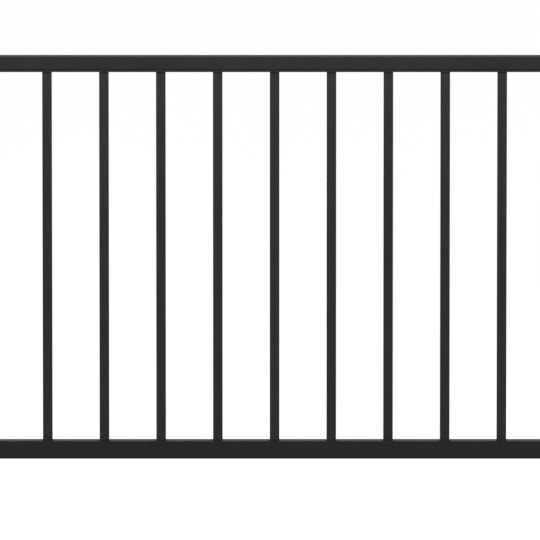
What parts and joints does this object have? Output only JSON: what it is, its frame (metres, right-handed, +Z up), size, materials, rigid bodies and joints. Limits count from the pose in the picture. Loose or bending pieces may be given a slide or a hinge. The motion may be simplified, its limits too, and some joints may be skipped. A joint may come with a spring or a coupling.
{
  "type": "deck railing section",
  "caption": "Deck railing panel of square balusters between a channel bottom rail and a snap-capped top rail, with saddle brackets that screw to the posts.",
  "frame": {"origin": "middle of the lower left bracket's mounting face, on the left post's flat side", "axes": "+X along the section to the right post, +Z up, and -Y towards the viewer of the picture"},
  "size_m": [1.8288, 0.063, 0.86],
  "materials": {
    "rail_coat": "satin black powder coat",
    "baluster_coat": "satin black powder coat",
    "bracket_coat": "satin black powder coat"
  },
  "bodies": {
    "root": {"top_rail_cap": "rail_coat", "top_rail_base": "rail_coat", "bottom_rail": "rail_coat", "baluster_01": "baluster_coat", "baluster_02": "baluster_coat", "baluster_03": "baluster_coat", "baluster_04": "baluster_coat", "baluster_05": "baluster_coat", "baluster_06": "baluster_coat", "baluster_07": "baluster_coat", "baluster_08": "baluster_coat", "baluster_09": "baluster_coat", "baluster_10": "baluster_coat", "baluster_11": "baluster_coat", "baluster_12": "baluster_coat", "baluster_13": "baluster_coat", "baluster_14": "baluster_coat", "baluster_15": "baluster_coat", "bracket_left_bottom": "bracket_coat", "bracket_left_top": "bracket_coat", "bracket_right_bottom": "bracket_coat", "bracket_right_top": "bracket_coat"}
  },
  "joints": []
}
